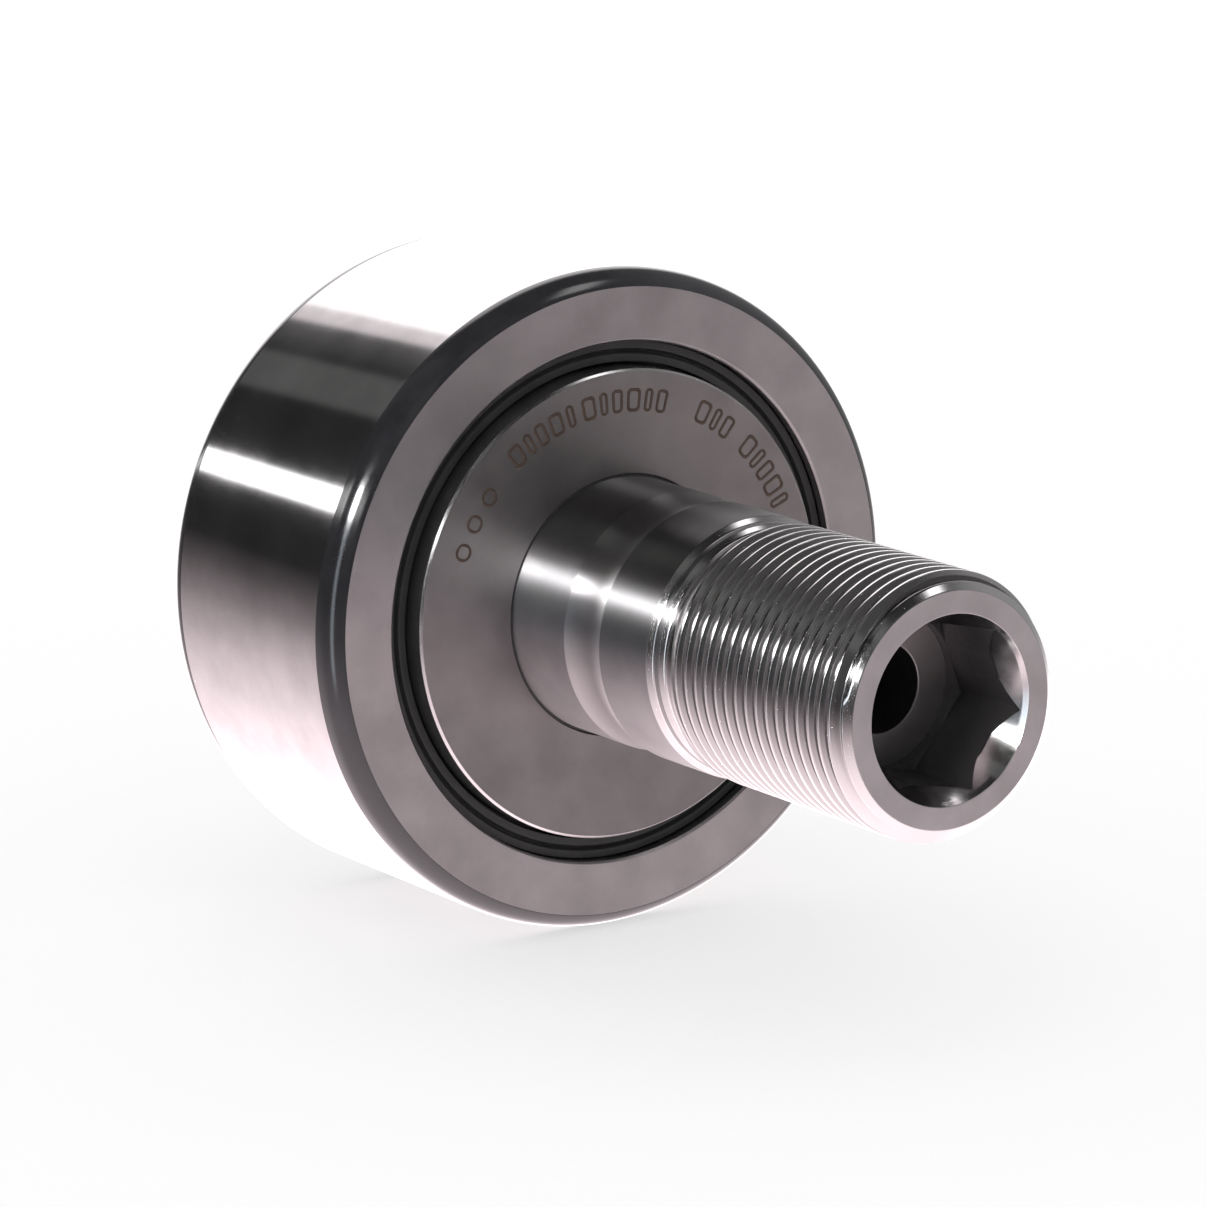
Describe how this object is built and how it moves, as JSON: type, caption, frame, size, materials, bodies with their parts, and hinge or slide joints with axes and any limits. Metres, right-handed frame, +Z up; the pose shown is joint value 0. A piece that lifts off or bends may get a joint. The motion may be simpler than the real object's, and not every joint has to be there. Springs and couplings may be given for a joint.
{
  "type": "cam follower",
  "caption": "Stud-type cam follower: a steel roller on a full needle set round a shouldered stud with a fine thread, hexagon sockets and grease drillings.",
  "frame": {"origin": "centre of the flange washer's outer face, the shoulder that the stud is tightened against, on the axis of rotation", "axes": "-Y along the stud to its threaded end, +Y through the roller to the head; +Z up"},
  "size_m": [0.062, 0.08, 0.062],
  "materials": {
    "stud_steel": "ground and turned",
    "washer_steel": "face ground, satin",
    "roller_steel": "tread ground and polished",
    "needle_steel": "lapped",
    "seal_plastic": "moulded, greasy",
    "nipple_steel": "zinc plated",
    "spring_steel": "drawn wire"
  },
  "bodies": {
    "stud": {"stud": "stud_steel", "flange_washer": "washer_steel", "nipple_body": "nipple_steel", "nipple_spring": "spring_steel"},
    "roller": {"outer_ring": "roller_steel", "thread_side_sliding_ring": "seal_plastic", "head_side_sliding_ring": "seal_plastic"},
    "needle_set": {"needle_01": "needle_steel", "needle_02": "needle_steel", "needle_03": "needle_steel", "needle_04": "needle_steel", "needle_05": "needle_steel", "needle_06": "needle_steel", "needle_07": "needle_steel", "needle_08": "needle_steel", "needle_09": "needle_steel", "needle_10": "needle_steel", "needle_11": "needle_steel", "needle_12": "needle_steel", "needle_13": "needle_steel", "needle_14": "needle_steel", "needle_15": "needle_steel", "needle_16": "needle_steel", "needle_17": "needle_steel", "needle_18": "needle_steel", "needle_19": "needle_steel", "needle_20": "needle_steel", "needle_21": "needle_steel", "needle_22": "needle_steel", "needle_23": "needle_steel", "needle_24": "needle_steel", "needle_25": "needle_steel", "needle_26": "needle_steel", "needle_27": "needle_steel", "needle_28": "needle_steel"},
    "nipple_ball": {"nipple_ball": "needle_steel"}
  },
  "joints": [
    {"name": "roller_spin", "type": "hinge", "parent": "stud", "child": "roller", "pos_m": [0, 0.0153, 0], "axis": [0, 1, 0], "continuous": true},
    {"name": "needle_orbit", "type": "hinge", "parent": "stud", "child": "needle_set", "pos_m": [0, 0.0153, 0], "axis": [0, 1, 0], "continuous": true},
    {"name": "nipple_ball_lift", "type": "slide", "parent": "stud", "child": "nipple_ball", "axis": [0, -1, 0], "range_m": [0, 0.0008], "stiffness_N_per_m": 300, "springref_m": -0.001, "deforming": ["nipple_spring"]}
  ],
  "couplings": [
    {"joint": "needle_orbit", "follows": "roller_spin", "ratio": 0.55679}
  ]
}
